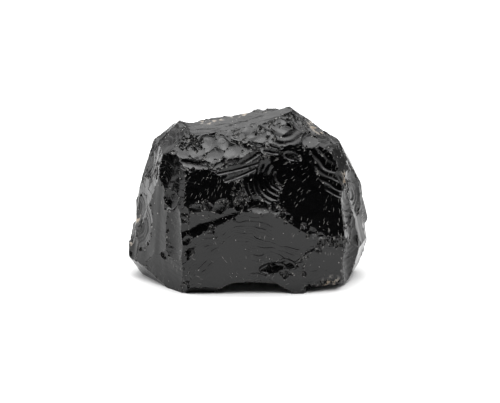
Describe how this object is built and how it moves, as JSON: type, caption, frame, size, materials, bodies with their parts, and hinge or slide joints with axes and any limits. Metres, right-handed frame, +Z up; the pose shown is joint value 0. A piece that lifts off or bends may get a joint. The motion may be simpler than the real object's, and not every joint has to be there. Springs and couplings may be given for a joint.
{
  "type": "obsidian chunk",
  "caption": "Broken chunk of black volcanic glass with dished conchoidal faces, sharp ridges and a flat patch underneath to rest on.",
  "frame": {"origin": "on the flat patch that the stone rests on, near the middle of the stone", "axes": "+X along the long side to the viewer's right, -Y towards the viewer and the arched front face, +Z up"},
  "size_m": [0.0878, 0.0483, 0.0614],
  "materials": {
    "obsidian": "glossy black natural glass, fresh fracture surfaces"
  },
  "bodies": {
    "root": {"obsidian_chunk": "obsidian"}
  },
  "joints": []
}
